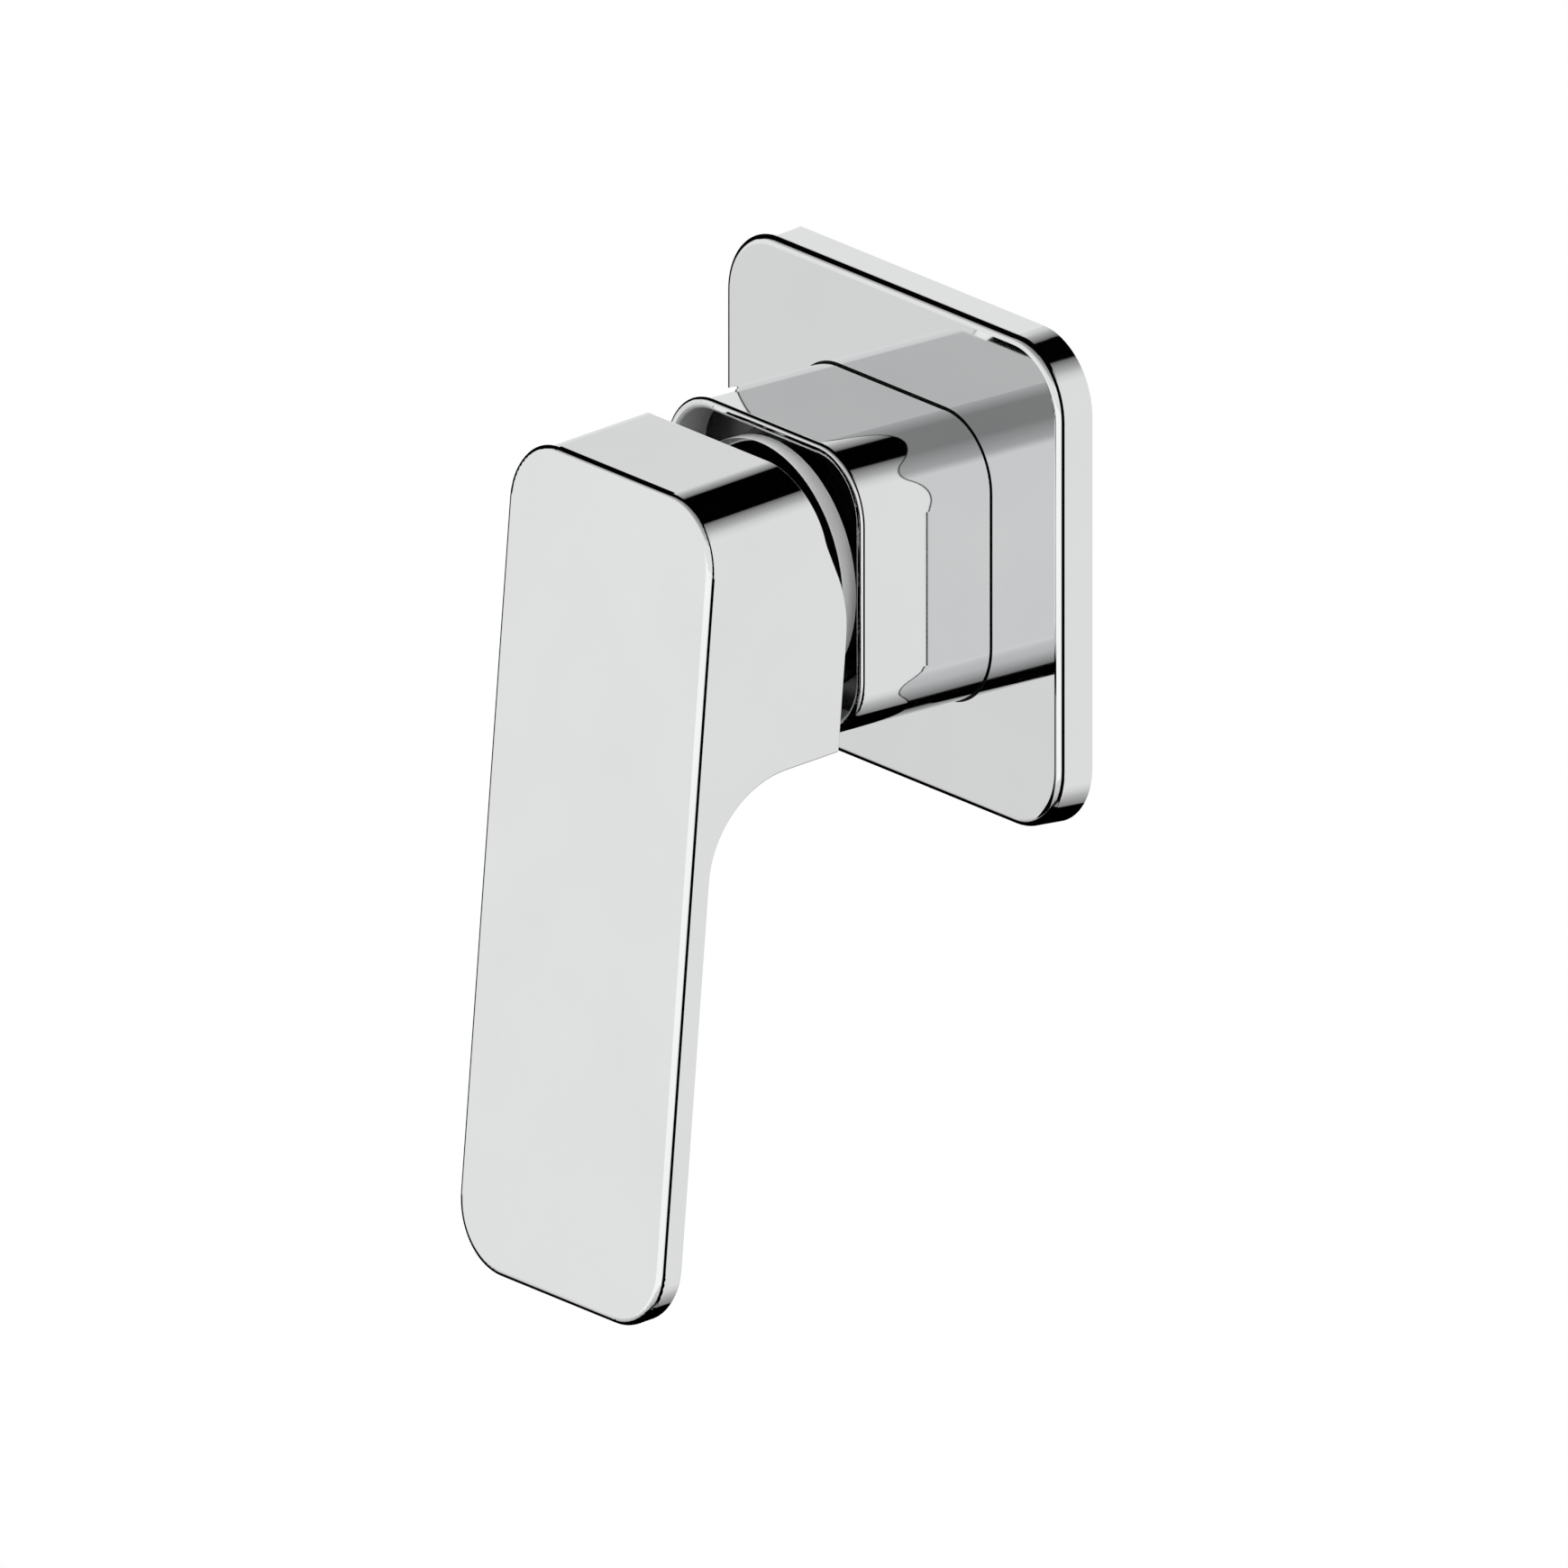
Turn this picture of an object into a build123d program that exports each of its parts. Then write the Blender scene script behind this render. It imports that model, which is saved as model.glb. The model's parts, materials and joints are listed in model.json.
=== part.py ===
from build123d import *
from math import cos, radians, sin, sqrt, tan
import os

# Trim set of a concealed single-lever shower mixer: a square lever in front of a square sleeve
# that stands out of a square wall plate. Inside are the ceramic cartridge and the brass carrier
# that bolts to the valve box in the wall.
# Millimetres. X is to the right facing the wall, +Y goes into the wall and +Z is up. The origin
# is where the valve's axis meets the plane of the finished wall. A reach is a distance from that
# plane out into the room, so a point at a reach lies at Y = -reach.

# One overrun serves every cut.
overrun = 1.0

# Clearances.
fit_gap = 0.05
seat_gap = 0.1
slip_gap = 0.2
film_gap = 0.02
seal_squeeze = 0.02

# Wall plate, a shallow shell with a rounded front edge. Its size is that of its front, and its
# sides widen towards the wall.
plate_width = 82.5
plate_height = 80.2
plate_depth = 6.2
plate_corner = 11.5
plate_edge = 1.4
plate_draft = 4.0
plate_skin = 2.0
plate_rim = 3.0
plate_seal_depth = 1.0
plate_seal_width = 1.8
gasket_width = 4.0

# Sleeve, a rounded square tube open at the front.
sleeve_width = 48.7
sleeve_height = 47.4
sleeve_corner = 11.1
sleeve_reach = 31.9
sleeve_wall = 1.8
sleeve_edge = 0.75
sleeve_hole_gap = 0.35
insert_setback = 6.6
insert_length = 16.0

# Brass carrier with its flange, and the spigot that enters the valve box.
flange_inset = 9.0
flange_thickness = 3.4
flange_corner = 8.0
carrier_wall = 3.3
carrier_lip = 4.2
mouth_step = 0.7
spigot_radius = 18.0
spigot_length = 9.0
port_radius = 3.2
port_circle = 8.5
port_count = 3
seal_section = 0.9
port_seal_section = 0.6
sleeve_seal_spacing = 9.0

# Countersunk screws that hold the flange to the valve box.
screw_inset = 5.5
screw_radius = 2.5
screw_neck_radius = 2.1
screw_head_radius = 4.6
screw_head_height = 2.4
screw_length = 12.4
screw_recess_width = 1.1
screw_recess_depth = 1.3

# Ceramic cartridge.
cartridge_radius = 17.5
base_thickness = 4.0
disc_thickness = 3.0
driver_thickness = 4.0
driver_margin = 1.4
guide_flange = 2.4
washer_thickness = 0.5
housing_wall = 2.2
housing_roof = 1.6
neck_radius = 13.0
neck_wall = 2.0
neck_length = 7.4
guide_seal_setback = 1.8
stop_height = 1.4
stop_wall = 0.9
stop_lug_angle = 10.0
mixing_pocket_radius = 5.6
mixing_pocket_depth = 1.5
key_width = 5.0
key_depth = 2.0
rail_width = 2.0
rail_height = 1.2
rail_offset = 8.0
rail_length = 13.0
locating_pin_radius = 1.2
locating_pin_length = 2.0
locating_pin_circle = 14.4
locating_pin_angles = (30, 150)
filter_thickness = 0.8
filter_lip = 0.3
filter_hole_radius = 0.45
filter_hole_count = 6

# Ring nut and the polished dome that hides it.
nut_gap = 0.3
nut_collar_height = 5.4
nut_notch_width = 4.0
nut_notch_depth = 2.0
dome_radius = 20.5
dome_wall = 1.2
dome_edge = 0.6
dome_hole_radius = 10.6
dome_rise = 0.6
dome_skirt = 2.5

# Stem on its cross pin. The lever rests closed, with the stem half its lift below the axis.
lift_angle = 20.0
turn_angle = 45.0
pivot_reach = 24.0
pin_radius = 1.5
pin_length = 19.6
stem_width = 7.2
stem_height = 8.0
stem_reach = 33.0
stem_tail = 3.4
stem_neck_radius = 1.5
ball_radius = 2.0
ball_arm = 8.2
stem_slot_gap = 1.2
bush_wall = 0.8
bush_length = 8.6

# Lever handle: a leaning face, a hollow block behind its top and a thin blade below.
handle_width = 50.15
handle_length = 134.4
handle_rise = 22.25
handle_corner = 11.0
handle_edge = 1.2
rear_edge = 0.35
crease_angle = 30.0
handle_projection = 63.75
face_tilt = 5.0
top_slope = 3.85
blade_thickness = 4.2
blade_round = 16.6
block_depth = 28.55
block_drop = 22.65
block_wall = 3.0
front_wall = 4.0
relief_rise = 3.65
relief_top_depth = 19.45
relief_knee_share = 0.49
relief_knee_sag = 0.9
relief_round = 22.0
knee_round = 20.0
socket_wall = 3.0
rib_wall = 1.2

# Socket screw that clamps the stem, and its plug under the block.
grub_radius = 2.5
grub_length = 8.0
grub_arm = 27.6
hex_flats = 2.5
hex_depth = 2.5
plug_radius = 3.2
plug_length = 1.6
plug_inset = 0.5

# Places along the axis, worked out from the seat of the cartridge to the nut.
seat_reach = flange_thickness
disc_reach = seat_reach + base_thickness
film_reach = disc_reach + disc_thickness
moving_reach = film_reach + film_gap
driver_reach = moving_reach + disc_thickness
driver_front = driver_reach + driver_thickness
guide_reach = driver_front + slip_gap
guide_front = guide_reach + guide_flange
washer_reach = guide_front + fit_gap
roof_reach = washer_reach + washer_thickness + fit_gap
shoulder_reach = roof_reach + housing_roof
neck_reach = shoulder_reach + neck_length
mouth_reach = shoulder_reach + carrier_lip
collar_reach = mouth_reach + seat_gap
collar_front = collar_reach + nut_collar_height
insert_front = sleeve_reach - insert_setback

# The flange stays inside the plate's gasket, whichever way the plate is narrower.
flange_side = min(plate_width, plate_height) - 2 * flange_inset
screw_spacing = flange_side - 2 * screw_inset

# Radii around the axis.
bore_radius = cartridge_radius + seat_gap
carrier_radius = bore_radius + carrier_wall
mouth_radius = bore_radius + mouth_step
housing_bore = cartridge_radius - housing_wall
nut_bore = neck_radius + nut_gap
collar_radius = dome_radius - dome_wall - seat_gap
guide_neck_radius = neck_radius - neck_wall - fit_gap
guide_flange_radius = housing_bore - 2 * slip_gap
half_lift = lift_angle / 2
disc_travel = ball_arm * sin(radians(half_lift))
disc_radius = housing_bore - slip_gap
moving_radius = housing_bore - disc_travel - driver_margin
port_angles = [90 + 360 / port_count * turn for turn in range(port_count)]

# The dome's front is a sphere about the stem's pin, so the lever clears it all the way.
pin_to_rim = sleeve_reach + dome_rise - pivot_reach
dome_sphere = sqrt(dome_radius**2 + pin_to_rim**2)

# Directions of the lever, seen from the side.
tilt = radians(face_tilt)
slope = radians(top_slope)
face_normal = (0, -cos(tilt), sin(tilt))
draw = Vector(0, cos(slope), sin(slope))


def wall_plane(reach):
    """A plane facing the room at a reach, with X to the right and Z up."""
    return Plane((0, -reach, 0), x_dir=(1, 0, 0), z_dir=(0, -1, 0))


def slab(outline, near, far):
    """An outline drawn out from one reach to a further one."""
    return extrude(wall_plane(near) * outline, amount=far - near)


def disc(radius, near, far):
    return slab(Circle(radius), near, far)


def ring(outer, inner, near, far):
    return disc(outer, near, far) - disc(inner, near - overrun, far + overrun)


def square(width, height, corner, near, far):
    return slab(RectangleRounded(width, height, corner), near, far)


def square_ring(width, height, corner, wall, near, far):
    inner = square(width - 2 * wall, height - 2 * wall, corner - wall, near - overrun, far + overrun)
    return square(width, height, corner, near, far) - inner


def around(circle, angle):
    """The place at an angle on a circle about the axis, in a wall plane."""
    return Pos(circle * cos(radians(angle)), circle * sin(radians(angle)))


def o_ring(major, section, reach, x=0, z=0):
    return Pos(x, -reach, z) * Rot(90, 0, 0) * Torus(major, section)


def groove(radius, section, reach, gap):
    """The cutter of a ring seal's groove in the outside of a shaft that runs in a wider bore."""
    depth = 2 * section - gap
    half = section + seat_gap
    return ring(radius + overrun, radius - depth, reach - half, reach + half)


def seal_in_groove(radius, section, reach, gap):
    return o_ring(radius + gap - section, section - seal_squeeze, reach)


def stem_frame():
    """The stem's frame: -Y runs out along the stem from its pin and Z is square to it."""
    return Pos(0, -pivot_reach, 0) * Rot(half_lift, 0, 0)


def block(width, height, near, far, lift=0):
    """A box in the stem's frame between two arms from the pin."""
    return Pos(0, -(near + far) / 2, lift) * Box(width, far - near, height)


def wall_plate():
    outline = wall_plane(plate_depth) * RectangleRounded(plate_width, plate_height, plate_corner)
    body = extrude(outline, amount=-plate_depth, taper=-plate_draft)
    front = body.faces().sort_by(Axis.Y)[0]
    body = fillet(front.edges(), plate_edge)
    hollow = square(
        plate_width - 2 * plate_rim,
        plate_height - 2 * plate_rim,
        plate_corner - plate_rim,
        -overrun,
        plate_depth - plate_skin,
    )
    return body - hollow - sleeve_hole() - plate_seal_seat()


def sleeve_hole():
    gap = sleeve_hole_gap
    return square(
        sleeve_width + 2 * gap,
        sleeve_height + 2 * gap,
        sleeve_corner + gap,
        -overrun,
        plate_depth + overrun,
    )


def plate_seal_seat():
    grow = plate_seal_width + seat_gap
    back = plate_depth - plate_skin
    return square(
        sleeve_width + 2 * grow,
        sleeve_height + 2 * grow,
        sleeve_corner + grow,
        back - overrun,
        back + plate_seal_depth,
    )


def plate_seal():
    grow = plate_seal_width
    back = plate_depth - plate_skin
    width = sleeve_width + 2 * grow
    height = sleeve_height + 2 * grow
    wall = grow - fit_gap
    return square_ring(width, height, sleeve_corner + grow, wall, back, back + plate_seal_depth)


def plate_gasket():
    rim = plate_rim + fit_gap
    return square_ring(
        plate_width - 2 * rim,
        plate_height - 2 * rim,
        plate_corner - rim,
        gasket_width,
        0,
        plate_depth - plate_skin,
    )


def sleeve():
    back = seat_reach + slip_gap
    body = square(sleeve_width, sleeve_height, sleeve_corner, back, sleeve_reach)
    body -= square(
        sleeve_width - 2 * sleeve_wall,
        sleeve_height - 2 * sleeve_wall,
        sleeve_corner - sleeve_wall,
        back - overrun,
        sleeve_reach + overrun,
    )
    front = body.faces().sort_by(Axis.Y)[0]
    return fillet(front.edges(), sleeve_edge)


def sleeve_insert():
    wall = sleeve_wall + fit_gap
    body = square(
        sleeve_width - 2 * wall,
        sleeve_height - 2 * wall,
        sleeve_corner - wall,
        insert_front - insert_length,
        insert_front,
    )
    back = insert_front - insert_length
    return body - disc(carrier_radius + slip_gap, back - overrun, insert_front + overrun)


def sleeve_seal_reaches():
    middle = insert_front - insert_length / 2
    return [middle - sleeve_seal_spacing / 2, middle + sleeve_seal_spacing / 2]


def insert_o_rings():
    places = sleeve_seal_reaches()
    rings = [seal_in_groove(carrier_radius, seal_section, reach, slip_gap) for reach in places]
    return Compound(children=rings)


def port_holes(radius, near, far):
    holes = [around(port_circle, angle) * Circle(radius) for angle in port_angles]
    return slab(Sketch() + holes, near, far)


def port_grooves(near, far):
    """Round seats for a seal about each of the three ports."""
    inner = port_radius + seal_section
    outer = inner + 2 * port_seal_section + fit_gap
    return port_holes(outer, near, far) - port_holes(inner, near - overrun, far + overrun)


def port_seal_set(reach):
    major = port_radius + seal_section + port_seal_section
    places = [around(port_circle, angle).position for angle in port_angles]
    section = port_seal_section - seal_squeeze
    rings = [o_ring(major, section, reach, spot.X, spot.Y) for spot in places]
    return Compound(children=rings)


def screw_places():
    half = screw_spacing / 2
    return [(x, z) for x in (-half, half) for z in (-half, half)]


def screw_solid(grow, near, far):
    """A countersunk screw's outline about its own axis, larger all round by a clearance."""
    shank = disc(screw_radius + grow, near, far)
    head_plane = wall_plane(flange_thickness - seat_gap - screw_head_height)
    small = head_plane * Circle(screw_radius + grow)
    large = head_plane.offset(screw_head_height) * Circle(screw_head_radius + grow)
    return shank + loft([small.face(), large.face()])


def screw_hole():
    """The flange's hole for one screw: a shank hole, a countersink and the head's mouth."""
    front = flange_thickness - seat_gap
    mouth = disc(screw_head_radius + slip_gap, front, flange_thickness + overrun)
    return screw_solid(slip_gap, -overrun, front - screw_head_height) + mouth


def screw_recess():
    """The cross recess in a screw's head."""
    front = flange_thickness - seat_gap
    arm = 2 * screw_radius
    bars = Rectangle(arm, screw_recess_width) + Rectangle(screw_recess_width, arm)
    return slab(bars, front - screw_recess_depth, front + overrun)


def carrier_screws():
    """The screws, each with a thinner neck where it passes through the flange."""
    front = flange_thickness - seat_gap
    shank_front = front - screw_head_height
    one = screw_solid(0, front - screw_length, shank_front + fit_gap) - screw_recess()
    one -= ring(screw_radius, screw_neck_radius, 0, shank_front)
    return Compound(children=[Pos(x, 0, z) * one for x, z in screw_places()])


def valve_carrier():
    body = disc(carrier_radius, 0, mouth_reach)
    body += square(flange_side, flange_side, flange_corner, 0, flange_thickness)
    body += disc(spigot_radius, -spigot_length, 0)
    body -= disc(bore_radius, seat_reach, mouth_reach + overrun)
    body -= disc(mouth_radius, shoulder_reach, mouth_reach + overrun)
    body -= port_holes(port_radius, -spigot_length - overrun, seat_reach + overrun)
    body -= port_grooves(-spigot_length - overrun, 2 * port_seal_section - spigot_length - fit_gap)
    body -= groove(spigot_radius, seal_section, spigot_seal_reach(), 0)
    for reach in sleeve_seal_reaches():
        body -= groove(carrier_radius, seal_section, reach, slip_gap)
    for x, z in screw_places():
        body -= Pos(x, 0, z) * screw_hole()
    return body - locating_pins(fit_gap) - filter_seats()


def spigot_seal_reach():
    return -spigot_length / 2


def spigot_o_ring():
    """The spigot's seal, squeezed flush as it is once the spigot is in the valve box."""
    return seal_in_groove(spigot_radius, seal_section, spigot_seal_reach(), 0)


def port_seals():
    return port_seal_set(port_seal_section - spigot_length - fit_gap)


def filter_seats():
    """Shallow widenings of the two inlet ports from behind, one for each strainer."""
    seats = [around(port_circle, angle) * Circle(filter_radius() + fit_gap) for angle in port_angles[1:]]
    return slab(Sketch() + seats, -spigot_length - overrun, filter_thickness - spigot_length + fit_gap)


def filter_radius():
    return port_radius + filter_lip


def inlet_filters():
    """A small plate strainer in each inlet, with one hole in the middle and a ring of others."""
    pitch = filter_radius() / 2
    step = 360 / filter_hole_count
    holes = [around(pitch, step * turn) * Circle(filter_hole_radius) for turn in range(filter_hole_count)]
    plate = Circle(filter_radius()) - Circle(filter_hole_radius) - holes
    plates = [around(port_circle, angle) * plate for angle in port_angles[1:]]
    one_side = [slab(each, -spigot_length, filter_thickness - spigot_length) for each in plates]
    return Compound(children=one_side)


def locating_pins(grow):
    """The two pins under the cartridge that set it square in the carrier."""
    radius = locating_pin_radius + grow
    spots = [around(locating_pin_circle, angle) * Circle(radius) for angle in locating_pin_angles]
    return slab(Sketch() + spots, seat_reach - locating_pin_length - grow, seat_reach + fit_gap)


def cartridge_base():
    body = disc(cartridge_radius, seat_reach, disc_reach) + locating_pins(0)
    body -= port_holes(port_radius, seat_reach - overrun, disc_reach + overrun)
    depth = 2 * port_seal_section - seal_squeeze
    body -= port_grooves(seat_reach - overrun, seat_reach + depth)
    return body - port_grooves(disc_reach - depth, disc_reach + overrun)


def base_seals():
    return port_seal_set(seat_reach + port_seal_section - seal_squeeze / 2)


def disc_seals():
    return port_seal_set(disc_reach - port_seal_section + seal_squeeze / 2)


def fixed_disc():
    body = disc(disc_radius, disc_reach, film_reach)
    return body - port_holes(port_radius, disc_reach - overrun, film_reach + overrun)


def key_slots(radius, grow):
    """Two keys at the sides of the moving disc, where the driver holds it."""
    width = key_width + 2 * grow
    depth = key_depth + grow
    core = Rectangle(2 * radius - 2 * depth, width + overrun)
    return Rectangle(2 * radius + 2 * overrun, width) - core


def moving_disc():
    body = disc(moving_radius, moving_reach, driver_reach)
    body -= slab(key_slots(moving_radius, seat_gap), moving_reach - overrun, driver_reach + overrun)
    body -= disc(mixing_pocket_radius, moving_reach - overrun, moving_reach + mixing_pocket_depth)
    return rest_discs(body)


def rest_discs(body):
    """Puts what slides with the stem's ball where it lies with the lever closed."""
    return Pos(0, 0, disc_travel) * body


def disc_driver():
    body = disc(moving_radius, driver_reach, driver_front)
    keys = Circle(moving_radius) & key_slots(moving_radius, 0)
    body += slab(keys, driver_reach - key_depth, driver_reach)
    rails = [Pos(side * rail_offset, 0) * Rectangle(rail_width, rail_length) for side in (-1, 1)]
    body += slab(Sketch() + rails, driver_front, driver_front + rail_height)
    pocket = 2 * (ball_radius + fit_gap)
    body -= slab(Rectangle(pocket, pocket), driver_reach - overrun, driver_front + overrun)
    return rest_discs(body)


def stem_slot():
    half = stem_height / 2 / cos(radians(half_lift)) + stem_slot_gap
    half += (neck_reach - pivot_reach) * tan(radians(half_lift))
    return Rectangle(stem_width + 2 * seat_gap, 2 * half)


def stop_lug(radius):
    """A sector of a disc at the top of the guide, which meets the ring at each end of the turn."""
    return sector(radius, stop_lug_angle)


def sector(radius, half_angle):
    """A disc's sector about the upright, drawn as a fan of two points and an arc."""
    left = around(radius, 90 + half_angle).position
    right = around(radius, 90 - half_angle).position
    outline = [Line((0, 0), left), ThreePointArc(left, (0, radius), right), Line(right, (0, 0))]
    return make_face(outline)


def stem_guide():
    front = neck_reach + stop_height
    body = disc(guide_flange_radius, guide_reach, guide_front)
    body += disc(guide_neck_radius, guide_front, front)
    body += slab(stop_lug(neck_radius - stop_wall - fit_gap), neck_reach + fit_gap, front)
    body -= slab(stem_slot(), guide_reach - overrun, front + overrun)
    track = Rectangle(rail_width + 2 * fit_gap, 2 * housing_bore)
    tracks = Pos(-rail_offset, 0) * track + Pos(rail_offset, 0) * track
    body -= slab(tracks, guide_reach - overrun, driver_front + rail_height + slip_gap)
    body -= groove(guide_neck_radius, port_seal_section, guide_seal_reach(), fit_gap)
    bore = Rot(0, 90, 0) * Cylinder(pin_radius + film_gap, 2 * cartridge_radius)
    return body - Pos(0, -pivot_reach, 0) * bore


def guide_seal_reach():
    return neck_reach - guide_seal_setback


def guide_seal():
    return seal_in_groove(guide_neck_radius, port_seal_section, guide_seal_reach(), fit_gap)


def friction_washer():
    inner = guide_neck_radius + seat_gap
    return ring(guide_flange_radius, inner, washer_reach, washer_reach + washer_thickness)


def stem_pin():
    return Pos(0, -pivot_reach, 0) * Rot(0, 90, 0) * Cylinder(pin_radius, pin_length)


def cartridge_housing():
    body = disc(cartridge_radius, disc_reach, shoulder_reach)
    body += disc(neck_radius, shoulder_reach, neck_reach)
    body -= disc(housing_bore, disc_reach - overrun, roof_reach)
    return body - disc(guide_neck_radius + fit_gap, roof_reach - overrun, neck_reach + overrun)


def temperature_stop_ring():
    front = neck_reach + stop_height
    body = ring(neck_radius, guide_neck_radius + fit_gap, neck_reach, front)
    window = sector(neck_radius - stop_wall, turn_angle + stop_lug_angle + fit_gap)
    return body - slab(window, neck_reach - overrun, front + overrun)


def cartridge_nut():
    body = disc(mouth_radius - fit_gap, shoulder_reach, collar_reach)
    body += disc(collar_radius, collar_reach, collar_front)
    body -= disc(nut_bore, shoulder_reach - overrun, collar_front + overrun)
    bars = Rectangle(3 * collar_radius, nut_notch_width) + Rectangle(nut_notch_width, 3 * collar_radius)
    return body - slab(bars, collar_front - nut_notch_depth, collar_front + overrun)


def dome_cover():
    """A short skirt, and a spherical front about the stem's pin that is open in the middle."""
    back = sleeve_reach + dome_rise - dome_skirt
    centre = Pos(0, -pivot_reach, 0)
    far = pivot_reach + dome_sphere + overrun
    core = disc(dome_radius, back, far)
    body = core & (centre * Sphere(dome_sphere))
    rim = body.edges().filter_by(GeomType.CIRCLE).sort_by(Axis.Y)[0]
    body = fillet(rim, dome_edge)
    body -= centre * Sphere(dome_sphere - dome_wall) & disc(dome_radius - dome_wall, back - overrun, far)
    return body - disc(dome_hole_radius, back, far)


def stem():
    body = block(stem_width, stem_height, -stem_tail, stem_reach)
    tail = Pos(0, (stem_tail + ball_arm) / 2, 0) * Rot(90, 0, 0)
    body += tail * Cylinder(stem_neck_radius, ball_arm - stem_tail)
    body += Pos(0, ball_arm, 0) * Sphere(ball_radius)
    body -= Rot(0, 90, 0) * Cylinder(pin_radius + fit_gap, 2 * stem_width)
    return stem_frame() * body


def stem_bush():
    near = stem_reach - bush_length
    outer = block(*bush_size(bush_wall), near, stem_reach)
    body = outer - block(*bush_size(fit_gap), near - overrun, stem_reach + overrun)
    return stem_frame() * (body - screw_shaft(grub_radius + slip_gap, -stem_height, 0))


def bush_size(grow):
    return stem_width + 2 * grow, stem_height + 2 * grow


def screw_shaft(radius, low, high):
    """A cylinder square to the stem at the clamping screw, between two heights from its axis."""
    return Pos(0, -grub_arm, (low + high) / 2) * Cylinder(radius, high - low)


def grub_top():
    return -stem_height / 2


def grub_screw():
    top = grub_top()
    bottom = top - grub_length
    body = screw_shaft(grub_radius, bottom, top)
    hexagon = RegularPolygon(hex_flats / 2, 6, major_radius=False)
    socket = Pos(0, -grub_arm, bottom) * extrude(hexagon, amount=hex_depth)
    return stem_frame() * (body - socket)


def plug_bottom():
    """How far below the stem's axis the underside of the block lies at the clamping screw."""
    reach = pivot_reach + grub_arm * cos(radians(half_lift))
    reach -= block_drop * sin(radians(half_lift))
    level = underside_level(reach)
    stem_level = (pivot_reach - reach) * tan(radians(half_lift))
    return (level - stem_level) * cos(radians(half_lift))


def screw_plug():
    bottom = plug_bottom() + plug_inset
    return stem_frame() * screw_shaft(plug_radius, bottom, bottom + plug_length)


def face_point(rise, depth):
    """Reach and height of a point on the lever's side, from its height up the leaning face and
    its depth square to the face."""
    reach = handle_projection - rise * sin(tilt) - depth * cos(tilt)
    return reach, rise * cos(tilt) - depth * sin(tilt)


def block_heel():
    """The lower rear corner of the block, where its rear face meets its underside."""
    rise = -block_drop / cos(tilt)
    reach, level = face_point(rise, block_depth)
    rise += (-block_drop - level) / cos(tilt)
    return face_point(rise, block_depth)


def underside_level(reach):
    heel_reach, heel_level = block_heel()
    return heel_level - (reach - heel_reach) * tan(slope)


def side_points():
    """The corners of the lever's rear outline, from above its top to below the blade's end."""
    top_reach, top_level = face_point(handle_rise, 0)
    crest = (top_reach - relief_top_depth * cos(slope), top_level + relief_top_depth * sin(slope))
    knee_root_rise = relief_rise / cos(tilt)
    root = face_point(knee_root_rise, block_depth)
    share = relief_knee_share
    knee = (
        root[0] + share * (crest[0] - root[0]) + relief_knee_sag,
        root[1] + share * (crest[1] - root[1]),
    )
    heel = block_heel()
    blade_top = blade_corner(heel)
    blade_end = face_point(handle_rise - handle_length - 2 * handle_corner, blade_thickness)
    rake = (crest[0] - knee[0]) / (crest[1] - knee[1])
    above = (crest[0] + rake * handle_corner, crest[1] + handle_corner)
    return above, knee, root, heel, blade_top, blade_end


def blade_corner(heel):
    """Where the block's underside would meet the back of the blade without their round."""
    high = face_point(0, blade_thickness)
    low = face_point(-handle_length, blade_thickness)
    lean = (low[0] - high[0]) / (low[1] - high[1])
    level = (heel[1] - (high[0] - lean * high[1] - heel[0]) * tan(slope)) / (1 + lean * tan(slope))
    return high[0] + lean * (level - high[1]), level


def rear_cutter():
    """All that lies behind the lever, drawn from the side and as wide as the lever and more."""
    above, knee, root, heel, blade_top, blade_end = side_points()
    corners = [above, knee, root, heel, blade_top, blade_end, (0, blade_end[1]), (0, above[1])]
    side = Plane((0, 0, 0), x_dir=(0, -1, 0), z_dir=(-1, 0, 0))
    outline = make_face(Polyline(*corners, close=True))
    for corner, radius in ((knee, knee_round), (root, relief_round), (blade_top, blade_round)):
        outline = fillet(nearest_vertex(outline, corner), radius)
    return extrude(side * outline, amount=handle_width, both=True)


def nearest_vertex(outline, point):
    return outline.vertices().sort_by_distance((point[0], point[1], 0))[0]


def face_plane(depth):
    """A plane parallel to the lever's face at a depth behind it, centred on its height."""
    middle = handle_rise - handle_length / 2
    reach, level = face_point(middle, depth)
    return Plane((0, -reach, level), x_dir=(1, 0, 0), z_dir=face_normal)


def face_drawn(outline, depth, length):
    """An outline on the face at a depth, drawn towards the wall along the block's top."""
    flat = face_plane(depth) * outline
    return extrude(flat, amount=length, dir=(draw.X, draw.Y, draw.Z))


def handle_shell():
    face = RectangleRounded(handle_width, handle_length, handle_corner)
    body = face_drawn(face, 0, block_depth + handle_corner)
    body -= rear_cutter()
    front = body.faces().sort_by(Axis((0, 0, 0), face_normal))[-1]
    body = fillet(front.edges(), handle_edge)
    return fillet(creases(body), rear_edge)


def creases(body):
    """The edges of a solid where two of its faces meet at a clear angle."""
    found = ShapeList()
    for edge in body.edges():
        middle = edge.center()
        sides = [face.normal_at(middle) for face in body.faces() if edge in face.edges()]
        if len(sides) > 1 and sides[0].get_angle(sides[1]) > crease_angle:
            found.append(edge)
    return found


def handle_hollow():
    """The space inside the block, open towards the wall and as deep as its front wall allows."""
    climb = front_wall * tan(tilt + slope)
    floor = underside_level(handle_projection) / cos(tilt) + block_wall + climb
    ceiling = handle_rise - block_wall + climb
    shift = (floor + ceiling) / 2 - (handle_rise - handle_length / 2)
    corner = handle_corner - block_wall
    outline = Pos(0, shift) * RectangleRounded(handle_width - 2 * block_wall, ceiling - floor, corner)
    return face_drawn(outline, front_wall, 2 * block_depth)


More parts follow.
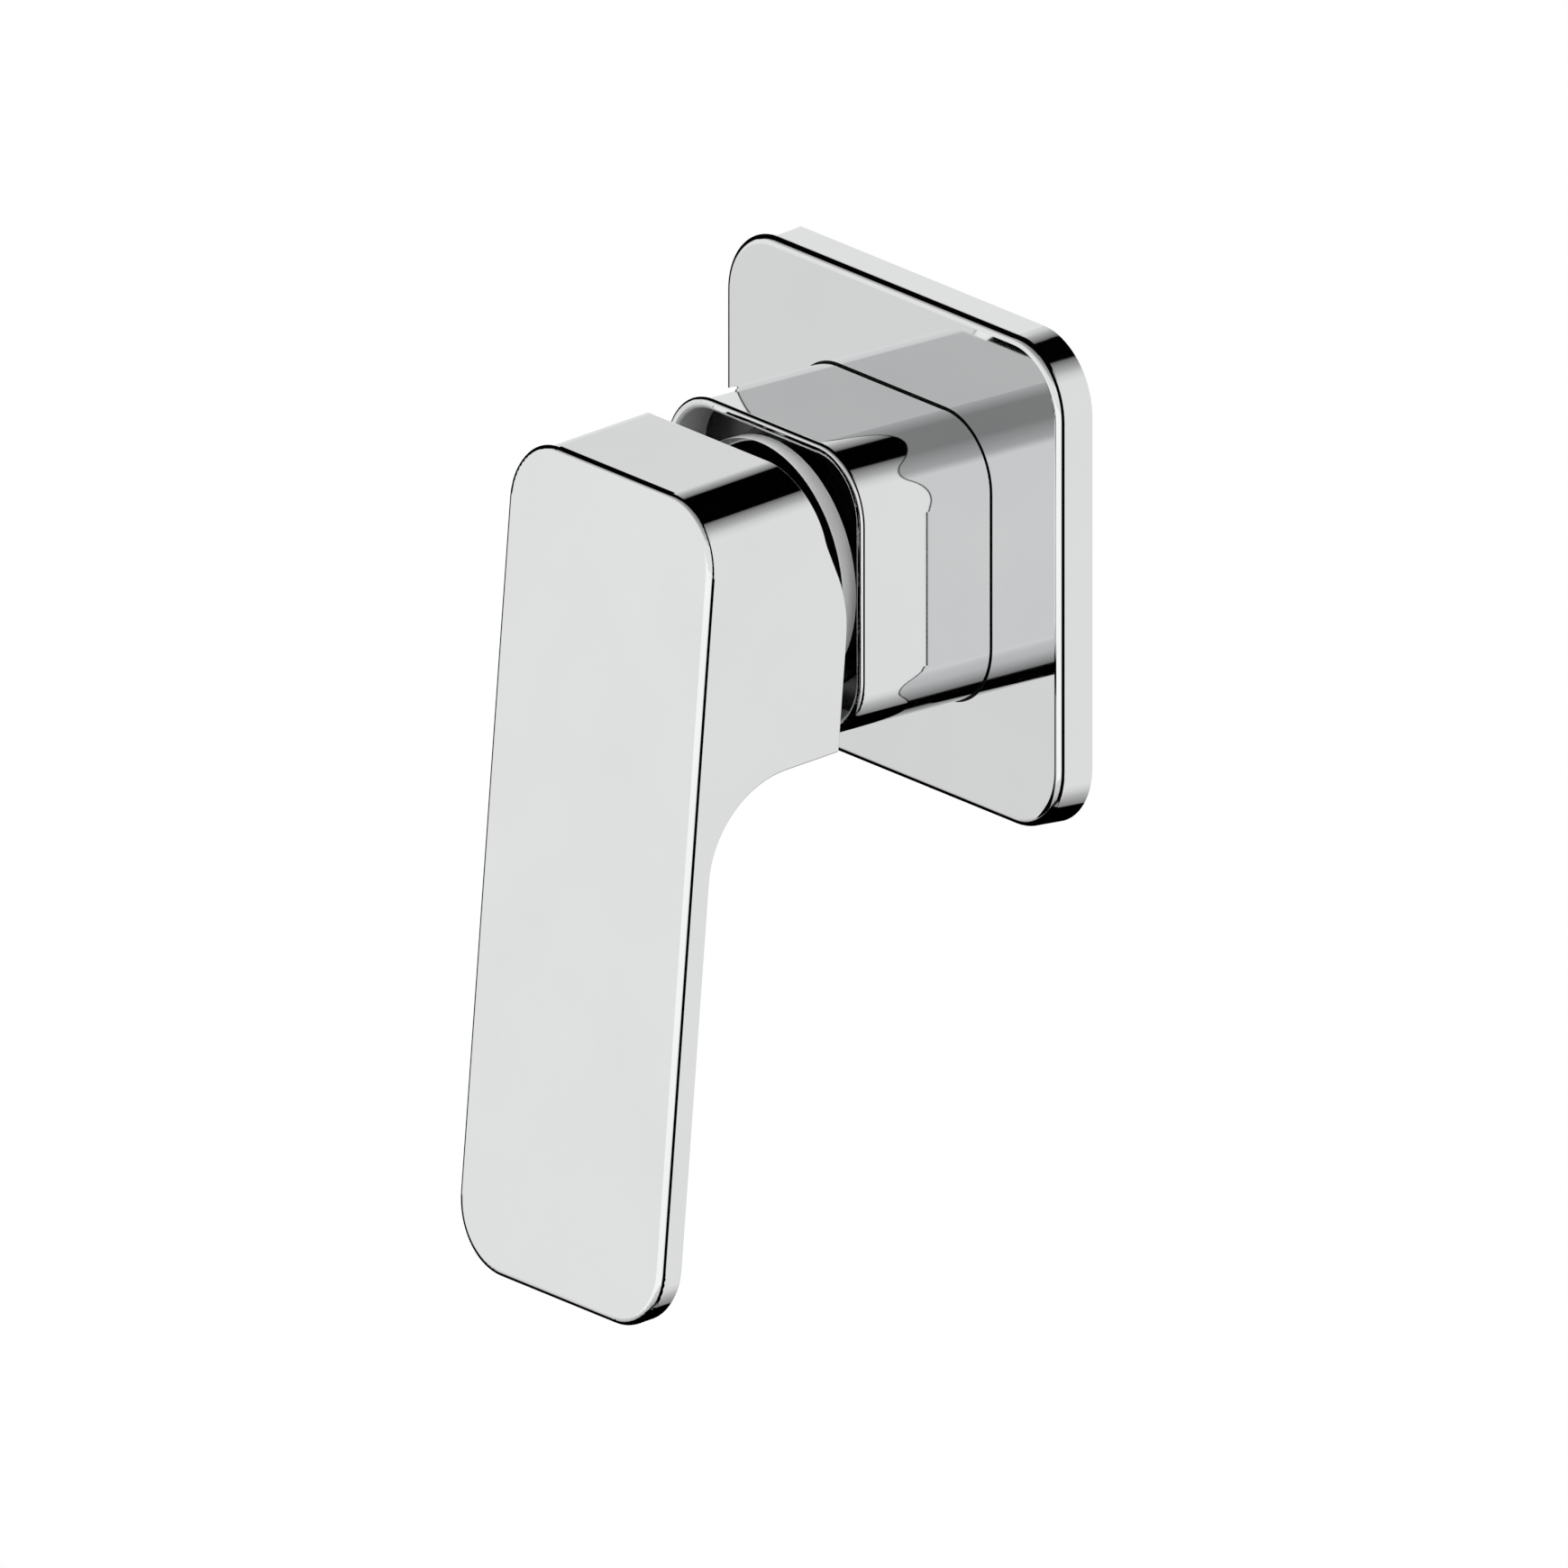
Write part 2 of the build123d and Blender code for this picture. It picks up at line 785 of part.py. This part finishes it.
def handle_socket():
    """The boss that takes the stem, and the rib below it that the clamping screw runs in."""
    near = stem_reach - bush_length
    outer = block(*bush_size(bush_wall + socket_wall), near, handle_projection)
    half = plug_radius + rib_wall
    low = -block_drop - blade_round
    rib = block(2 * half, -low, grub_arm - half, grub_arm + half, low / 2)
    return stem_frame() * (outer + rib)


def handle():
    shell = handle_shell()
    hollow = handle_hollow()
    inside = handle_socket() & hollow & shell
    body = shell - hollow + inside
    pocket = block(*bush_size(bush_wall + fit_gap), 0, stem_reach + seat_gap)
    tapped = screw_shaft(grub_radius + fit_gap, -handle_projection, 0)
    plug_top = plug_bottom() + plug_inset + plug_length + fit_gap
    mouth = screw_shaft(plug_radius + fit_gap, -handle_projection, plug_top)
    return body - stem_frame() * (pocket + tapped + mouth)


PARTS = {
    "wall_plate": wall_plate,
    "plate_gasket": plate_gasket,
    "plate_seal": plate_seal,
    "sleeve": sleeve,
    "sleeve_insert": sleeve_insert,
    "insert_o_rings": insert_o_rings,
    "valve_carrier": valve_carrier,
    "carrier_screws": carrier_screws,
    "spigot_o_ring": spigot_o_ring,
    "port_seals": port_seals,
    "inlet_filters": inlet_filters,
    "cartridge_base": cartridge_base,
    "base_seals": base_seals,
    "disc_seals": disc_seals,
    "fixed_disc": fixed_disc,
    "cartridge_housing": cartridge_housing,
    "friction_washer": friction_washer,
    "temperature_stop_ring": temperature_stop_ring,
    "cartridge_nut": cartridge_nut,
    "dome_cover": dome_cover,
    "stem_guide": stem_guide,
    "guide_seal": guide_seal,
    "stem_pin": stem_pin,
    "stem": stem,
    "stem_bush": stem_bush,
    "handle": handle,
    "grub_screw": grub_screw,
    "screw_plug": screw_plug,
    "disc_driver": disc_driver,
    "moving_disc": moving_disc,
}

os.makedirs("parts", exist_ok=True)
for name, make in PARTS.items():
    export_step(make(), os.path.join("parts", name + ".step"))
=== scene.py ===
"""The looks of a shower trim set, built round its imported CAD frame, in metres."""

import json
from math import cos, radians, sin

import bpy
from mathutils import Matrix, Vector

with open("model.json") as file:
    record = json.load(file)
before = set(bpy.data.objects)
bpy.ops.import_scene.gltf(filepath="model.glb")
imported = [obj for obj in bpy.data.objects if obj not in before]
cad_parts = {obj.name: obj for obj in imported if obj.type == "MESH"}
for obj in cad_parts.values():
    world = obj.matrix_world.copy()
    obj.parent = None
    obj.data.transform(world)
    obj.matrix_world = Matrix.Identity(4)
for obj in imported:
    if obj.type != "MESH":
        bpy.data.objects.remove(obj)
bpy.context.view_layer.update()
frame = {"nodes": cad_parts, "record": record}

# The photograph's parallel view.
VIEW_BACK = (0.7334, -0.5937, 0.3311)
VIEW_TARGET = (-0.0032, -0.0252, -0.0382)
VIEW_DISTANCE = 0.9
VIEW_WIDTH = 0.2431
VIEW_CLIP = (0.01, 20.0)

# The studio.
FLOOR_LEVEL = -0.42
FLOOR_SIDE = 9.0
FLOOR_COLOUR = 0.82
HALF = 0.5
WHITE = (1, 1, 1, 1)

# The room that the metal mirrors, as brightness against leaning height. Each half of it is
# drawn from two ramps that are multiplied: one for above and one for below.
BACK_LEAN = 0.125
BACK_SKY = (
    (0.71, 0.95), (0.75, 0.86), (0.775, 0.78), (0.82, 0.50),
    (0.85, 0.35), (0.8745, 0.17), (0.8755, 0.0),
)
FRONT_LEAN = 0.15
FRONT_SKY = (
    (0.675, 1.0), (0.685, 0.95), (0.72, 0.74),
    (0.745, 0.60), (0.845, 0.42), (0.875, 0.33),
)
SKY_SEAM = (-0.45, -0.3)
BACK_GROUND_LEAN = -0.6
BACK_GROUND = (
    (0.095, 0.0), (0.099, 0.28), (0.146, 0.42),
    (0.205, 0.58), (0.28, 0.84), (0.35, 0.96),
)
FRONT_GROUND_LEAN = -0.16
FRONT_GROUND = (
    (0.102, 0.0), (0.106, 0.28), (0.144, 0.50),
    (0.20, 0.72), (0.276, 0.82), (0.33, 0.95),
)

# Upright cards in that room: azimuth from -Y towards +X and half width, in degrees, lowest and
# highest height, and brightness.
CARD_BLUR = 0.05
CARDS = (
    (0.0, 40.0, -0.42, -0.12, 1.15),
    (-138.0, 14.0, -0.3, 0.2, 1.3),
    (78.0, 19.0, -0.9, 1.0, 0.0),
    (-90.0, 24.0, 0.2, 1.0, 0.0),
    (-93.0, 22.0, -0.9, 1.0, 0.0),
)

# The round of the lever's upper corners: its centre on the face, the radii it is found between,
# and how far the block's top and the face lean.
CORNER_CENTRE = (0.014075, -0.062769, 0.011207)
CORNER_RADII = (0.01090, 0.01095)
TOP_SLOPE = radians(3.85)
FACE_TILT = radians(5.0)
PLATE_DRAFT = radians(4.0)

# Finishes. Colours are linear, a grain is counted per metre, and a bump is in metres.
GRAIN_SPAN = (0.3, 0.7)
GRAIN_DETAIL = 6.0
BUMP_DEPTH = 0.0001
# A pale colour that is painted reflection: it stands in for the light that the sleeve's inner walls
# and the dome's skirt mirror.
PALE_PAINTED_REFLECTION = (0.94, 0.945, 0.95)
# Painted shade: the near-black for the brass carrier's front lip, which lies in the shaded gap.
PAINTED_SHADE = (0.05, 0.05, 0.052)
CHROME = dict(
    low=(0.765, 0.77, 0.775), high=(0.785, 0.79, 0.793),
    rough=(0.03, 0.045), metal=1.0, grain=60.0, bump=0.0,
)
TURNED = dict(rough=(0.24, 0.36), metal=1.0, grain=900.0, stretch=(1, 12, 1))
# Partly a finish and partly painted reflection: the extra roughness is a finish, and the pale
# non-metal colour paints in reflected light.
SATIN_AND_PAINTED_REFLECTION = dict(rough=0.3, milk=1.0, colour=PALE_PAINTED_REFLECTION)


class Nodes:
    """A node tree with short calls for what the materials need."""

    def __init__(self, tree):
        self.tree = tree
        tree.nodes.clear()

    def add(self, kind, **settings):
        node = self.tree.nodes.new(kind)
        for name, value in settings.items():
            setattr(node, name, value)
        return node

    def link(self, source, target):
        self.tree.links.new(source, target)

    def feed(self, socket, value):
        if isinstance(value, bpy.types.NodeSocket):
            self.link(value, socket)
        else:
            socket.default_value = value

    def math(self, operation, first, second=0.0):
        node = self.add("ShaderNodeMath", operation=operation)
        self.feed(node.inputs[0], first)
        self.feed(node.inputs[1], second)
        return node.outputs[0]

    def product(self, *factors):
        result = factors[0]
        for factor in factors[1:]:
            result = self.math("MULTIPLY", result, factor)
        return result

    def parts(self, vector):
        """The three parts of a vector."""
        node = self.add("ShaderNodeSeparateXYZ")
        self.link(vector, node.inputs[0])
        return [node.outputs[name] for name in "XYZ"]

    def unit(self, x, y, z):
        """A vector of length 1 from three parts."""
        joined = self.add("ShaderNodeCombineXYZ")
        for socket, value in zip(joined.inputs, (x, y, z)):
            self.feed(socket, value)
        scaled = self.add("ShaderNodeVectorMath", operation="NORMALIZE")
        self.link(joined.outputs[0], scaled.inputs[0])
        return scaled.outputs[0]

    def between(self, value, low, high):
        """A smooth step of a value, 0 at the first bound and 1 at the second."""
        step = self.add("ShaderNodeMapRange", interpolation_type="SMOOTHSTEP")
        self.feed(step.inputs["Value"], value)
        step.inputs["From Min"].default_value = low
        step.inputs["From Max"].default_value = high
        return step.outputs["Result"]

    def mixed(self, factor, first, second, blend="MIX"):
        mix = self.add("ShaderNodeMix", data_type="RGBA", blend_type=blend)
        self.feed(mix.inputs["Factor"], factor)
        self.feed(mix.inputs["A"], first)
        self.feed(mix.inputs["B"], second)
        return mix.outputs["Result"]

    def ramp(self, value, stops):
        node = self.add("ShaderNodeValToRGB")
        points = node.color_ramp.elements
        while len(points) < len(stops):
            points.new(1.0)
        for point, (place, level) in zip(points, stops):
            point.position = place
            point.color = level if hasattr(level, "__len__") else (level, level, level, 1)
        self.link(value, node.inputs[0])
        return node.outputs[0]


def camera():
    back = Vector(VIEW_BACK).normalized()
    right = Vector((-back.y, back.x, 0)).normalized()
    up = back.cross(right)
    turn = Matrix((right, up, back)).transposed()
    data = bpy.data.cameras.new("camera")
    data.type = "ORTHO"
    data.ortho_scale = VIEW_WIDTH
    data.clip_start, data.clip_end = VIEW_CLIP
    made = bpy.data.objects.new("camera", data)
    bpy.context.scene.collection.objects.link(made)
    place = Vector(VIEW_TARGET) + back * VIEW_DISTANCE
    made.matrix_world = Matrix.Translation(place) @ turn.to_4x4()
    bpy.context.scene.camera = made


def leaning_height(tree, direction, lean):
    """The height of a direction above a plane that leans towards +X, from 0 to 1."""
    x, _, z = direction
    height = tree.math("SUBTRACT", z, tree.product(x, lean))
    return tree.product(tree.math("ADD", height, 1.0), HALF)


def card(tree, direction, azimuth, half_width, bottom, top):
    """An upright card in one direction, as 1 where it is and 0 elsewhere."""
    x, y, z = direction
    east, south = sin(radians(azimuth)), cos(radians(azimuth))
    along = tree.math("SUBTRACT", tree.product(x, east), tree.product(y, south))
    beside = tree.math("ADD", tree.product(x, south), tree.product(y, east))
    reach = sin(radians(half_width))
    return tree.product(
        tree.between(tree.math("ABSOLUTE", beside), reach + CARD_BLUR, reach),
        tree.between(along, 0.0, CARD_BLUR),
        tree.between(z, top + CARD_BLUR, top),
        tree.between(z, bottom - CARD_BLUR, bottom),
    )


def room_colour(tree):
    """A white room with dark cards above, below and beside, as the polished metal shows it."""
    direction = tree.parts(tree.add("ShaderNodeTexCoord").outputs["Generated"])
    seam = tree.between(direction[1], *SKY_SEAM)
    halves = (
        (tree.ramp(leaning_height(tree, direction, FRONT_LEAN), FRONT_SKY),
         tree.ramp(leaning_height(tree, direction, BACK_LEAN), BACK_SKY)),
        (tree.ramp(leaning_height(tree, direction, FRONT_GROUND_LEAN), FRONT_GROUND),
         tree.ramp(leaning_height(tree, direction, BACK_GROUND_LEAN), BACK_GROUND)),
    )
    sky, ground = (tree.mixed(seam, front, back) for front, back in halves)
    room = tree.mixed(1.0, sky, ground, "MULTIPLY")
    for *place, level in CARDS:
        room = tree.mixed(card(tree, direction, *place), room, (level, level, level, 1))
    return room


def studio():
    """Plain white light all round, with the room shown in reflections only."""
    world = bpy.data.worlds.new("studio")
    world.use_nodes = True
    bpy.context.scene.world = world
    tree = Nodes(world.node_tree)
    path = tree.add("ShaderNodeLightPath")
    background = tree.add("ShaderNodeBackground")
    shown = tree.mixed(path.outputs["Is Glossy Ray"], WHITE, room_colour(tree))
    tree.link(shown, background.inputs["Color"])
    output = tree.add("ShaderNodeOutputWorld")
    tree.link(background.outputs[0], output.inputs["Surface"])


def floor():
    """A pale floor that keeps the shadow and looks white to the camera."""
    half = FLOOR_SIDE * HALF
    signs = ((-1, -1), (1, -1), (1, 1), (-1, 1))
    corners = [(x * half, y * half, FLOOR_LEVEL) for x, y in signs]
    mesh = bpy.data.meshes.new("floor")
    mesh.from_pydata(corners, [], [(0, 1, 2, 3)])
    made = bpy.data.objects.new("floor", mesh)
    bpy.context.scene.collection.objects.link(made)
    made.visible_glossy = False
    material = bpy.data.materials.new("floor")
    material.use_nodes = True
    tree = Nodes(material.node_tree)
    paint = tree.add("ShaderNodeBsdfDiffuse")
    paint.inputs["Color"].default_value = (FLOOR_COLOUR, FLOOR_COLOUR, FLOOR_COLOUR, 1)
    path = tree.add("ShaderNodeLightPath")
    lift = tree.add("ShaderNodeEmission")
    strength = tree.product(path.outputs["Is Camera Ray"], 1 - FLOOR_COLOUR)
    tree.link(strength, lift.inputs["Strength"])
    both = tree.add("ShaderNodeAddShader")
    tree.link(paint.outputs[0], both.inputs[0])
    tree.link(lift.outputs[0], both.inputs[1])
    output = tree.add("ShaderNodeOutputMaterial")
    tree.link(both.outputs[0], output.inputs["Surface"])
    mesh.materials.append(material)


def facing_axis(tree, coordinates):
    """How far a surface near the valve's axis faces it, from -1 (away) to 1."""
    x, _, z = tree.parts(coordinates.outputs["Object"])
    facing = tree.add("ShaderNodeVectorMath", operation="DOT_PRODUCT")
    tree.link(tree.unit(x, 0.0, z), facing.inputs[0])
    tree.link(coordinates.outputs["Normal"], facing.inputs[1])
    return tree.product(facing.outputs["Value"], -1.0)


def in_world(tree, normal):
    """A normal of the object, turned with it into the room."""
    world = tree.add(
        "ShaderNodeVectorTransform", vector_type="NORMAL", convert_from="OBJECT", convert_to="WORLD"
    )
    tree.link(normal, world.inputs[0])
    return world.outputs[0]


def corner_normal(tree, coordinates):
    """The true normal of the lever's two upper corners, which the mesh only comes close to."""
    x, y, z = tree.parts(coordinates.outputs["Object"])
    across = tree.math("SUBTRACT", tree.math("ABSOLUTE", x), CORNER_CENTRE[0])
    rise = tree.product(tree.math("SUBTRACT", z, CORNER_CENTRE[2]), cos(TOP_SLOPE))
    depth = tree.product(tree.math("SUBTRACT", y, CORNER_CENTRE[1]), sin(TOP_SLOPE))
    squeeze = cos(TOP_SLOPE + FACE_TILT)
    up = tree.math("DIVIDE", tree.math("SUBTRACT", rise, depth), squeeze)
    squares = tree.math("ADD", tree.product(across, across), tree.product(up, up))
    round_part = tree.product(
        tree.between(tree.math("SQRT", squares), *CORNER_RADII),
        tree.math("GREATER_THAN", across, 0.0),
        tree.math("GREATER_THAN", up, 0.0),
    )
    outward = tree.product(tree.math("SIGN", x), across, squeeze)
    back = tree.product(up, -sin(TOP_SLOPE))
    true = tree.unit(outward, back, tree.product(up, cos(TOP_SLOPE)))
    chosen = tree.add("ShaderNodeMix", data_type="VECTOR")
    tree.link(round_part, chosen.inputs["Factor"])
    first, second = [socket for socket in chosen.inputs if socket.type == "VECTOR"][-2:]
    tree.link(coordinates.outputs["Normal"], first)
    tree.link(true, second)
    result = next(socket for socket in chosen.outputs if socket.type == "VECTOR")
    return in_world(tree, result)


def steep_normal(tree, coordinates):
    """The plate's normal as if its sides went straight to the wall, without their draft."""
    x, y, z = tree.parts(coordinates.outputs["Normal"])
    draft = sin(PLATE_DRAFT)
    front = tree.math("DIVIDE", tree.math("ADD", y, draft), 1 - draft)
    turned = tree.math("ADD", tree.math("MINIMUM", front, 0.0), tree.math("MAXIMUM", y, 0.0))
    return in_world(tree, tree.unit(x, turned, z))


def grain_noise(tree, coordinates, grain, stretch):
    mapping = tree.add("ShaderNodeMapping")
    mapping.inputs["Scale"].default_value = stretch
    tree.link(coordinates.outputs["Object"], mapping.inputs["Vector"])
    noise = tree.add("ShaderNodeTexNoise")
    noise.inputs["Scale"].default_value = grain
    noise.inputs["Detail"].default_value = GRAIN_DETAIL
    tree.link(mapping.outputs["Vector"], noise.inputs["Vector"])
    return noise.outputs["Fac"]


def roughness_between(tree, noise, low, high):
    shine = tree.add("ShaderNodeMapRange")
    tree.link(noise, shine.inputs["Value"])
    shine.inputs["From Min"].default_value, shine.inputs["From Max"].default_value = GRAIN_SPAN
    shine.inputs["To Min"].default_value = low
    shine.inputs["To Max"].default_value = high
    return shine.outputs["Result"]


def finish_material(
    name, low, high, rough, grain, metal=0.0, bump=0.05, stretch=(1, 1, 1),
    satin_and_painted_reflection=None, painted_shade_front=None, normal=None,
):
    """A surface whose colour and roughness vary a little with a fine grain. It may turn rougher and
    milky where it faces the valve's axis as far as its bounds say: the roughness is a finish, and
    the pale milky colour is a painted reflection. It may have another colour past a reach from the
    wall, here painted shade. A normal takes the place of the mesh's."""
    material = bpy.data.materials.new(name)
    material.use_nodes = True
    tree = Nodes(material.node_tree)
    coordinates = tree.add("ShaderNodeTexCoord")
    noise = grain_noise(tree, coordinates, grain, stretch)
    tones = [(place, (*tone, 1)) for place, tone in zip(GRAIN_SPAN, (low, high))]
    colour = tree.ramp(noise, tones)
    roughness = roughness_between(tree, noise, *rough)
    shader = tree.add("ShaderNodeBsdfPrincipled")
    shader.inputs["Metallic"].default_value = metal
    # A dark colour past a reach from the wall: painted shade on a part's front in the gap.
    if painted_shade_front:
        y = tree.parts(coordinates.outputs["Object"])[1]
        colour = tree.mixed(tree.between(y, *painted_shade_front["reach"]), colour, (*painted_shade_front["colour"], 1))
    # The pale milky colour mixed in here is painted reflection; the added roughness is a finish.
    if satin_and_painted_reflection:
        rough_and_pale_mask = tree.between(facing_axis(tree, coordinates), *satin_and_painted_reflection["facing"])
        roughness = tree.math("ADD", roughness, tree.product(rough_and_pale_mask, satin_and_painted_reflection["rough"]))
        metallic = tree.math("SUBTRACT", metal, tree.product(rough_and_pale_mask, satin_and_painted_reflection["milk"]))
        tree.link(metallic, shader.inputs["Metallic"])
        colour = tree.mixed(rough_and_pale_mask, colour, (*satin_and_painted_reflection["colour"], 1))
    tree.link(colour, shader.inputs["Base Color"])
    tree.link(roughness, shader.inputs["Roughness"])
    if normal:
        tree.link(normal(tree, coordinates), shader.inputs["Normal"])
    if bump:
        relief = tree.add("ShaderNodeBump")
        relief.inputs["Strength"].default_value = bump
        relief.inputs["Distance"].default_value = BUMP_DEPTH
        tree.link(noise, relief.inputs["Height"])
        tree.link(relief.outputs["Normal"], shader.inputs["Normal"])
    output = tree.add("ShaderNodeOutputMaterial")
    tree.link(shader.outputs[0], output.inputs["Surface"])
    return material


MATERIALS = {
    "plate_chrome": dict(CHROME, normal=steep_normal),
    # Chrome that turns rough and pale on the sleeve's inner walls and the dome's skirt: the
    # roughness is a finish, the pale colour is painted reflection.
    "sleeve_chrome": dict(CHROME, satin_and_painted_reflection=dict(SATIN_AND_PAINTED_REFLECTION, facing=(0.1, 0.3))),
    "dome_chrome": dict(CHROME, satin_and_painted_reflection=dict(SATIN_AND_PAINTED_REFLECTION, facing=(-0.93, -0.97))),
    "lever_chrome": dict(CHROME, normal=corner_normal),
    "chrome": CHROME,
    "steel": dict(
        TURNED, low=(0.50, 0.50, 0.49), high=(0.60, 0.60, 0.59),
        rough=(0.22, 0.34),
    ),
    # Brass all through, with its front lip painted dark as painted shade of the gap it sits in.
    "plated_brass": dict(
        TURNED, low=(0.70, 0.50, 0.22), high=(0.80, 0.60, 0.30),
        painted_shade_front=dict(reach=(-0.018, -0.020), colour=PAINTED_SHADE),
    ),
    # The cartridge nut is brass; this near-black metal is painted shade of the gap it sits in, and
    # its glints are real reflections.
    "dark_nickel": dict(
        low=(0.04, 0.04, 0.042), high=(0.07, 0.07, 0.072),
        rough=(0.1, 0.18), metal=1.0, grain=900.0,
    ),
    "rubber": dict(
        low=(0.012, 0.012, 0.012), high=(0.028, 0.028, 0.028),
        rough=(0.55, 0.75), grain=1200.0, bump=0.2,
    ),
    "foam": dict(
        low=(0.055, 0.055, 0.058), high=(0.12, 0.12, 0.125),
        rough=(0.85, 0.95), grain=2500.0, bump=0.6,
    ),
    "black_plastic": dict(
        low=(0.008, 0.008, 0.009), high=(0.014, 0.014, 0.015),
        rough=(0.18, 0.28), grain=1500.0, bump=0.08,
    ),
    "white_plastic": dict(
        low=(0.74, 0.74, 0.72), high=(0.80, 0.80, 0.78),
        rough=(0.35, 0.45), grain=1200.0, bump=0.08,
    ),
    "red_plastic": dict(
        low=(0.50, 0.02, 0.02), high=(0.60, 0.03, 0.03),
        rough=(0.35, 0.45), grain=1200.0, bump=0.08,
    ),
    "ceramic": dict(
        low=(0.80, 0.79, 0.75), high=(0.87, 0.86, 0.82),
        rough=(0.12, 0.2), grain=1800.0, bump=0.02,
    ),
    "ptfe": dict(
        low=(0.84, 0.84, 0.84), high=(0.90, 0.90, 0.90),
        rough=(0.4, 0.5), grain=900.0, bump=0.04,
    ),
}
# Nodes whose finish in the picture is more than their slot's: the nut's near-black metal and the
# carrier's dark front are painted shade, and the pale on the sleeve's inner walls and the dome's
# skirt is painted reflection.
SPECIAL = dict(
    wall_plate="plate_chrome",
    sleeve="sleeve_chrome",
    dome_cover="dome_chrome",
    handle="lever_chrome",
    cartridge_nut="dark_nickel",
    valve_carrier="plated_brass",
)


def dress():
    slots = {row["node"]: row["material_slot"] for row in frame["record"]["subparts"]}
    slots.update(SPECIAL)
    used = sorted(set(slots.values()))
    made = {name: finish_material(name, **MATERIALS[name]) for name in used}
    for node, slot in slots.items():
        piece = frame["nodes"][node]
        piece.data.materials.clear()
        piece.data.materials.append(made[slot])


bpy.context.scene.view_settings.view_transform = "Standard"
camera()
studio()
floor()
dress()
